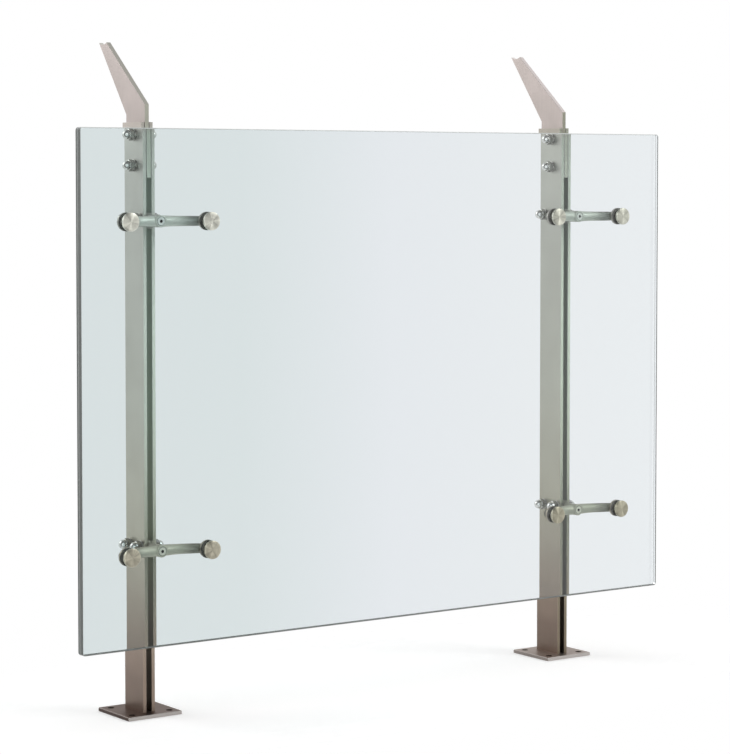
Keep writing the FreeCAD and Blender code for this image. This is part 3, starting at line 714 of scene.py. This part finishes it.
NUT_FLATS, NUT_CORNER, NUT_TOP, DOME_RADIUS, DOME_MIDDLE = 17.0, 9.815, 8.0, 8.0, 10.0
DOME_NUT = [
    *plain((0.0, 0.0), (8.3, 0.0)),
    *flat_sided((9.1, 0.4), (NUT_CORNER, 0.9), (NUT_CORNER, 7.3), (9.3, 7.65), (8.6, NUT_TOP)),
    *plain((DOME_RADIUS, NUT_TOP), (DOME_RADIUS, DOME_MIDDLE)),
    *quarter(DOME_RADIUS, DOME_MIDDLE),
]
WASHER_BORE, WASHER_RADIUS, WASHER_TOP = 5.25, 10.0, 2.0
WASHER = [
    *plain((WASHER_BORE, 0.0), (9.8, 0.0), (WASHER_RADIUS, 0.2)),
    *rounded_edge(WASHER_RADIUS, WASHER_TOP, 0.4),
    *plain((WASHER_BORE, WASHER_TOP), (WASHER_BORE, 0.0)),
]
SHANK_RADIUS, SHANK_TIP = 4.0, 3.5
CAP_RADIUS, CAP_BACK, CAP_BOLT_END = 15.0, -4.0, -37.0
CLAMP_CAP = [
    *plain((0.0, CAP_BOLT_END), (SHANK_TIP, CAP_BOLT_END), (SHANK_RADIUS, -36.5), (SHANK_RADIUS, CAP_BACK)),
    *plain((14.8, CAP_BACK), (CAP_RADIUS, -3.8)),
    *rounded_edge(CAP_RADIUS, 0.0, 0.8),
    *plain((10.0, 0.0), (5.0, 0.0), (0.0, 0.0)),
]
DISC_BORE, DISC_BACK = 4.25, -5.0
REAR_DISC = plain(
    (DISC_BORE, DISC_BACK), (13.5, DISC_BACK), (14.6, -4.7), (CAP_RADIUS, -3.5), (CAP_RADIUS, -0.2),
    (14.8, 0.0), (DISC_BORE, 0.0), (DISC_BORE, DISC_BACK))
GASKET_BORE, GASKET_RIM, GASKET_RADIUS, GASKET_BACK, GASKET_FRONT = 4.3, 14.7, 14.9, -0.9, -0.1
GASKET = plain(
    (GASKET_BORE, GASKET_BACK), (GASKET_RIM, GASKET_BACK), (GASKET_RADIUS, -0.7), (GASKET_RADIUS, -0.3),
    (GASKET_RIM, GASKET_FRONT), (GASKET_BORE, GASKET_FRONT), (GASKET_BORE, GASKET_BACK))
HEAD_RADIUS, HEAD_BACK, SCREW_END = 7.5, -5.0, -31.0
SOCKET_FLATS, SOCKET_CORNER = 5.0, 2.88
HUB_SCREW = [
    *plain((0.0, SCREW_END), (SHANK_TIP, SCREW_END), (SHANK_RADIUS, -30.5), (SHANK_RADIUS, HEAD_BACK)),
    *plain((HEAD_RADIUS, HEAD_BACK)),
    *rounded_edge(HEAD_RADIUS, 0.0, 0.8),
    *plain((3.0, 0.0)),
    *flat_sided((SOCKET_CORNER, -0.1), (SOCKET_CORNER, -3.5)),
    *plain((0.0, -4.6)),
]
BAR_FASTENERS = (("dome_nuts", DOME_NUT, "polished_steel"), ("washers", WASHER, "washer_steel"))
CLAMP_PIECES = (("clamp_caps", CLAMP_CAP, "turned_steel"), ("rear_discs", REAR_DISC, "disc_steel"),
                ("clamp_gaskets", GASKET, "gasket_rubber"))
FASTENERS = fastener_tree()


def set_fasteners(node, rows, seats, finish, across_flats=NUT_FLATS, steps=STEPS_AROUND):
    """One turned piece on each seat, in place of the node's solids."""
    profile, holder = profile_object(rows), seat_object(seats)
    tree, names = FASTENERS
    modifier = holder.modifiers.new("fasteners", "NODES")
    modifier.node_group = tree
    modifier[names["Profile"]] = profile
    modifier[names["Across flats"]] = across_flats * MM
    modifier[names["Steps around"]] = steps
    modifier[names["Finish"]] = finishes[finish]
    bpy.context.view_layer.update()
    mesh = bpy.data.meshes.new_from_object(holder.evaluated_get(bpy.context.evaluated_depsgraph_get()))
    bpy.data.objects.remove(holder)
    bpy.data.objects.remove(profile)
    show_piece(f"{node}_turned", mesh, node)


def set_bar_fasteners(group, side):
    """Dome nuts and washers on both outer faces of a post."""
    for kind, rows, finish in BAR_FASTENERS:
        node = f"{group}_{kind}"
        set_fasteners(node, rows, bar_seats(node, f"{side}_base_plate"), finish)


for side in SIDES:
    set_bar_fasteners(f"{side}_bracket", side)
for spider in SPIDERS:
    set_bar_fasteners(f"{spider}_tongue", spider.split("_")[1])
    for kind, rows, finish in CLAMP_PIECES:
        node = f"{spider}_{kind}"
        set_fasteners(node, rows, front_seats(node), finish, steps=CAP_STEPS_AROUND)
    node = f"{spider}_hub_screw"
    set_fasteners(node, HUB_SCREW, front_seats(node), "screw_steel", SOCKET_FLATS)


# Cast pieces, smooth where the casting is round

def smooth_casting(node):
    joined = merged_copy(node)
    mesh = bpy.data.meshes.new(node + "_cast")
    joined.to_mesh(mesh)
    joined.free()
    mesh.shade_smooth()
    mesh.materials.append(finishes["cast_steel"])
    show_piece(node + "_cast", mesh, node)


for spider in SPIDERS:
    smooth_casting(f"{spider}_spider_arm")
    smooth_casting(f"{spider}_spider_tongue")

for node, slot in slots.items():
    mesh = cad[node].data
    mesh.materials.clear()
    mesh.materials.append(finishes["stud_steel" if slot == "polished_steel" else slot])
cad["glass_panel"].visible_shadow = False


# Studio

# Floor: its size, how far it lies under the panel, and the oval round the panel where its paint runs out
FLOOR_SIZE, FLOOR_DROP = 5.0, 0.0005
OVAL_STRETCH, OVAL_FADE = (1.2, 3.2, 1.0), (0.7, 1.5)
MOTTLE_SIZE, MOTTLE_TONES = 0.8, ((0.3, 0.797), (0.7, 0.803))
FLOOR_LIFT = 0.30
# Room in reflections: directions, the span of each light or dark part round its direction, and its levels
FRONT_LEFT, FRONT_RIGHT = (-0.57, -0.82, 0.0), (0.82, -0.57, 0.0)
DIM_FRONT, DIM_LEVELS = (0.18, 0.46), (1.0, 0.27)
WINDOW, WINDOW_LEVELS = (0.80, 0.95), (1.0, 1.15)
CEILING, CEILING_LEVELS = (0.76, 0.92), (1.0, 0.35)
SOFTBOX, SOFTBOX_LEVELS = (0.74, 0.88), (0.0, 1.4)
# Light of the room where it isn't mirrored, and the bounces past which it is
ROOM_LIGHT, HALF_A_BOUNCE = 0.75, 0.5
# Lamps: place, size and power, all aimed at the middle of the panel
LAMP_AIM = Vector((0.0, 0.0, 0.5))
LAMPS = {
    "key_lamp": (Vector((2.6, -3.0, 2.8)), 2.0, 40.0),
    "back_lamp": (Vector((-2.5, 3.0, 2.6)), 2.5, 40.0),
}
# Camera: its lens in pixels of the picture's longer side
LENS_PIXELS, PICTURE_PIXELS, SENSOR_MM = 2492.4, 754, 36.0
CAMERA_PLACE = (-2.4810, -3.5379, 0.8799)
CAMERA_TILT, CAMERA_TURN, CAMERA_SHIFT = 87.25, -35.208, -0.1055


def make_floor():
    """White paint that takes the shadow near the panel and runs out into the white of the room."""
    bpy.ops.mesh.primitive_plane_add(size=FLOOR_SIZE, location=(0.0, 0.0, -FLOOR_DROP))
    floor = bpy.context.object
    floor.name = "floor"
    finish, tree = new_material("floor_paint")
    rays = add(tree, "ShaderNodeLightPath").outputs
    seen = maths(tree, "ADD", maths(tree, "ADD", rays["Is Camera Ray"], rays["Is Glossy Ray"]),
                 rays["Is Transmission Ray"], clamp=True)
    place = object_place(tree)
    from_panel = vectors(tree, "LENGTH", vectors(tree, "MULTIPLY", place, OVAL_STRETCH))
    away = spread(tree, from_panel, OVAL_FADE, smooth=True)
    mottle = ramp(tree, noise(tree, place, MOTTLE_SIZE, detail=0.0), *MOTTLE_TONES)
    paint = add(tree, "ShaderNodeBsdfDiffuse", {"Color": mottle})
    lift = add(tree, "ShaderNodeEmission",
               {"Color": opaque(WHITE), "Strength": maths(tree, "MULTIPLY", seen, FLOOR_LIFT)})
    near = add(tree, "ShaderNodeAddShader")
    tree.links.new(paint.outputs[0], near.inputs[0])
    tree.links.new(lift.outputs[0], near.inputs[1])
    both = add(tree, "ShaderNodeMixShader", {"Fac": away})
    tree.links.new(near.outputs[0], both.inputs[1])
    tree.links.new(add(tree, "ShaderNodeBsdfTransparent").outputs[0], both.inputs[2])
    add(tree, "ShaderNodeOutputMaterial", {"Surface": both.outputs[0]})
    floor.data.materials.append(finish)


def make_world():
    """A white sweep all round; the room in reflections is dim in front and overhead, bright on the right."""
    world = bpy.data.worlds.new("studio")
    bpy.context.scene.world = world
    world.use_nodes = True
    tree = world.node_tree
    tree.nodes.clear()
    rays = add(tree, "ShaderNodeLightPath").outputs
    aim = add(tree, "ShaderNodeTexCoord").outputs["Generated"]
    to_left = vectors(tree, "DOT_PRODUCT", aim, FRONT_LEFT)
    to_right = vectors(tree, "DOT_PRODUCT", aim, FRONT_RIGHT)
    dim_front = spread(tree, to_left, DIM_FRONT, DIM_LEVELS, smooth=True)
    window = spread(tree, to_right, WINDOW, WINDOW_LEVELS, smooth=True)
    ceiling = spread(tree, split(tree, aim)["Z"], CEILING, CEILING_LEVELS, smooth=True)
    softbox = spread(tree, to_left, SOFTBOX, SOFTBOX_LEVELS, smooth=True)
    walls = maths(tree, "MULTIPLY", maths(tree, "MULTIPLY", dim_front, window), ceiling)
    studio = maths(tree, "ADD", walls, softbox)
    mirrored = maths(tree, "GREATER_THAN", rays["Glossy Depth"], HALF_A_BOUNCE)
    direct = maths(tree, "SUBTRACT", 1.0, mirrored)
    seen = maths(tree, "ADD", rays["Is Camera Ray"], rays["Is Transmission Ray"], clamp=True)
    white = maths(tree, "MULTIPLY", seen, direct)
    room = maths(tree, "MULTIPLY", direct, ROOM_LIGHT)
    lit = maths(tree, "ADD", maths(tree, "MULTIPLY", studio, mirrored), room)
    sky = add(tree, "ShaderNodeBackground",
              {"Color": opaque(WHITE), "Strength": maths(tree, "MAXIMUM", white, lit)})
    add(tree, "ShaderNodeOutputWorld", {"Surface": sky.outputs[0]})


def make_lamp(name, place, size, watts):
    lamp = bpy.data.objects.new(name, bpy.data.lights.new(name, "AREA"))
    lamp.data.size = size
    lamp.data.energy = watts
    lamp.location = place
    lamp.rotation_euler = (LAMP_AIM - place).to_track_quat("-Z", "Y").to_euler()
    bpy.context.collection.objects.link(lamp)


def make_camera():
    camera = bpy.data.objects.new("camera", bpy.data.cameras.new("camera"))
    camera.data.sensor_width = SENSOR_MM
    camera.data.lens = SENSOR_MM * LENS_PIXELS / PICTURE_PIXELS
    camera.data.shift_y = CAMERA_SHIFT
    camera.location = CAMERA_PLACE
    camera.rotation_euler = (math.radians(CAMERA_TILT), 0.0, math.radians(CAMERA_TURN))
    bpy.context.collection.objects.link(camera)
    bpy.context.scene.camera = camera


bpy.context.scene.view_settings.view_transform = "Standard"
make_floor()
make_world()
for name, (place, size, watts) in LAMPS.items():
    make_lamp(name, place, size, watts)
make_camera()
